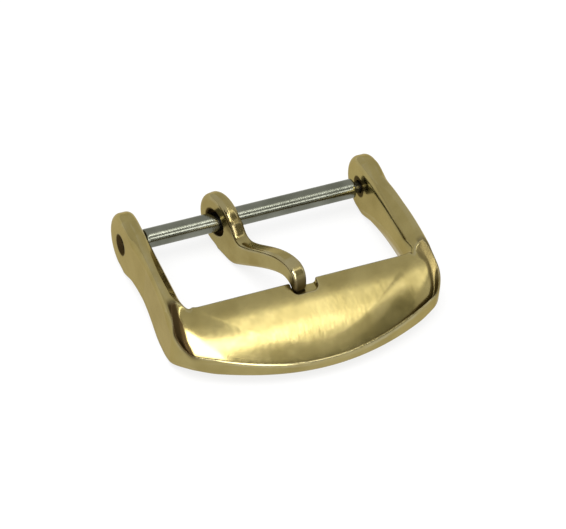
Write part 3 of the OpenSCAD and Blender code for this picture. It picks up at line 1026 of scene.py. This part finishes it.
def strip(name, path, width, distance, grey, strength):
    """A narrow curved card along a path of azimuths and elevations."""
    points = [direction(a, e, 1.0) for a, e in path]
    verts = []
    for i, p in enumerate(points):
        along = points[min(i + 1, len(points) - 1)] - points[max(i - 1, 0)]
        across = p.cross(along).normalized() * math.tan(math.radians(width) / 2)
        verts += [(p - across).normalized() * distance, (p + across).normalized() * distance]
    faces = [(2 * i, 2 * i + 2, 2 * i + 3, 2 * i + 1) for i in range(len(points) - 1)]
    obj = add_mesh(name, np.array(verts), faces, emission(name, grey, strength))
    show_in_reflections_only(obj)


def build_lights():
    """A grey dome with white boxes and strips, dark cards and a soft key lamp."""
    card("dome", (-180, 180), (12, 90), DOME_DISTANCE, WARM_WHITE, 0.85, 24)
    card("soft_box", (-50, -17), (33, 51), CARD_DISTANCE, WHITE, 13.0)
    card("low_front_box", (-24, 8), (2, 40), CARD_DISTANCE, WHITE, 7.0)
    front = [(-30, 44), (-11, 54), (14, 61), (39, 65), (55, 68)]
    strip("front_strip", front, 5.5, CARD_DISTANCE, WARM_WHITE, 8.5)
    top = [(55, 68), (69, 71), (85, 71)]
    strip("top_strip", top, 6, CARD_DISTANCE, (1, 1, 0.95), 3.8)
    side = [(60, 62), (64, 53), (67, 45), (69, 31), (77, 19)]
    strip("side_strip", side, 7, CARD_DISTANCE, WARM_WHITE, 2.7)
    card("bar_card", (15, 27), (27, 41), CARD_DISTANCE, WHITE, 6.0)
    card("dark_flag", (-10, 62), (14, 48), FLAG_DISTANCE, (1, 1, 0.85), 0.35)
    card("dark_left_card", (-84, -34), (18, 44), LEFT_CARD_DISTANCE, (1, 0.95, 0.8), 0.06)
    add_key_lamp()


def add_key_lamp():
    """A soft lamp from above that casts the buckle's shadow."""
    lamp = bpy.data.lights.new("key", "AREA")
    lamp.shape = "RECTANGLE"
    lamp.size, lamp.size_y = KEY_SIZE
    lamp.energy = KEY_ENERGY
    obj = bpy.data.objects.new("key", lamp)
    obj.location = KEY_PLACE
    aim = Vector(KEY_AIM) - obj.location
    obj.rotation_euler = aim.to_track_quat("-Z", "Y").to_euler()
    obj.visible_glossy = False
    bpy.context.scene.collection.objects.link(obj)


# The camera fitted to the photograph, with lengths in millimetres from the bar's middle
VIEW_AZIMUTH = math.radians(26.93)
VIEW_HEIGHT = math.radians(43.65)
VIEW_ROLL = math.radians(5.52)
VIEW_DISTANCE = 262.3
EYE_OFF = (1.56, 0.37)
AIM_OFF = (2.51, -3.84)
PIXELS_PER_MM = 13.327
IMAGE_WIDTH = 566
SENSOR_WIDTH = 36.0
CLIP_NEAR = 0.01
CLIP_FAR = 20.0


def build_camera():
    """Looks from the front left and above, along the photograph's own line of sight."""
    sa, ca = math.sin(VIEW_AZIMUTH), math.cos(VIEW_AZIMUTH)
    se, ce = math.sin(VIEW_HEIGHT), math.cos(VIEW_HEIGHT)
    back = Vector((-sa * ce, -ca * ce, se))
    level_right = Vector((ca, -sa, 0))
    level_up = Vector((sa * se, ca * se, ce))
    cr, sr = math.cos(VIEW_ROLL), math.sin(VIEW_ROLL)
    right = cr * level_right + sr * level_up
    upward = -sr * level_right + cr * level_up
    middle = Vector((0, AXIS_Y, AXIS_Z))
    eye = middle + back * VIEW_DISTANCE + right * EYE_OFF[0] + upward * EYE_OFF[1]
    aim = middle + right * AIM_OFF[0] + upward * AIM_OFF[1]
    back = (eye - aim).normalized()
    right = (right - back * right.dot(back)).normalized()
    upward = back.cross(right)
    data = bpy.data.cameras.new("camera")
    data.sensor_width = SENSOR_WIDTH
    data.lens = PIXELS_PER_MM * VIEW_DISTANCE / IMAGE_WIDTH * data.sensor_width
    data.clip_start = CLIP_NEAR
    data.clip_end = CLIP_FAR
    camera = bpy.data.objects.new("camera", data)
    turn = Matrix((right, upward, back)).transposed().to_4x4()
    camera.matrix_world = Matrix.Translation(eye * MM) @ turn
    bpy.context.scene.collection.objects.link(camera)
    bpy.context.scene.camera = camera


build_floor()
build_world()
build_lights()
build_camera()
bpy.context.scene.view_settings.view_transform = "Standard"
